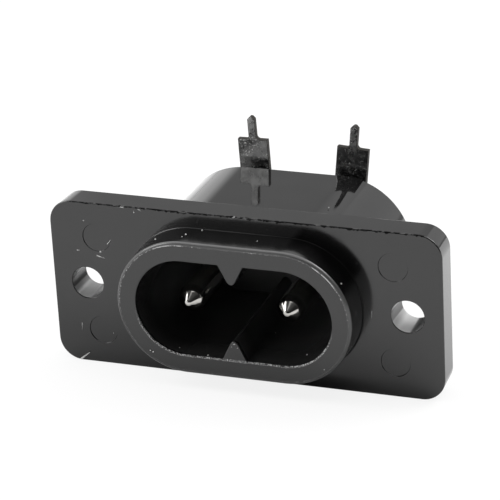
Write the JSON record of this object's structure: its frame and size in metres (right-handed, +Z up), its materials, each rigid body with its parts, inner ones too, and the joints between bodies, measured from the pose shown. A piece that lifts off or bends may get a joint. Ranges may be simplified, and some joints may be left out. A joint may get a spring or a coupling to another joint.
{
  "type": "figure eight power inlet",
  "caption": "Figure eight appliance inlet with a collared socket, a flange with screw holes, round contact pins and upright solder tags.",
  "frame": {"origin": "midway between the two screw holes, on the flange's front face", "axes": "+X across the flange, +Y back into the appliance, +Z up along the solder tags"},
  "size_m": [0.034, 0.0183, 0.0176],
  "materials": {
    "black_plastic": "semi-gloss moulded black plastic with fine scuffs",
    "plated_pin": "bright nickel plate over turned brass",
    "tinned_tag": "dull, blotchy tin plate over stamped brass sheet"
  },
  "bodies": {
    "root": {"housing": "black_plastic", "contact_pin_left": "plated_pin", "contact_pin_right": "plated_pin", "solder_tag_left": "tinned_tag", "solder_tag_right": "tinned_tag"}
  },
  "joints": []
}
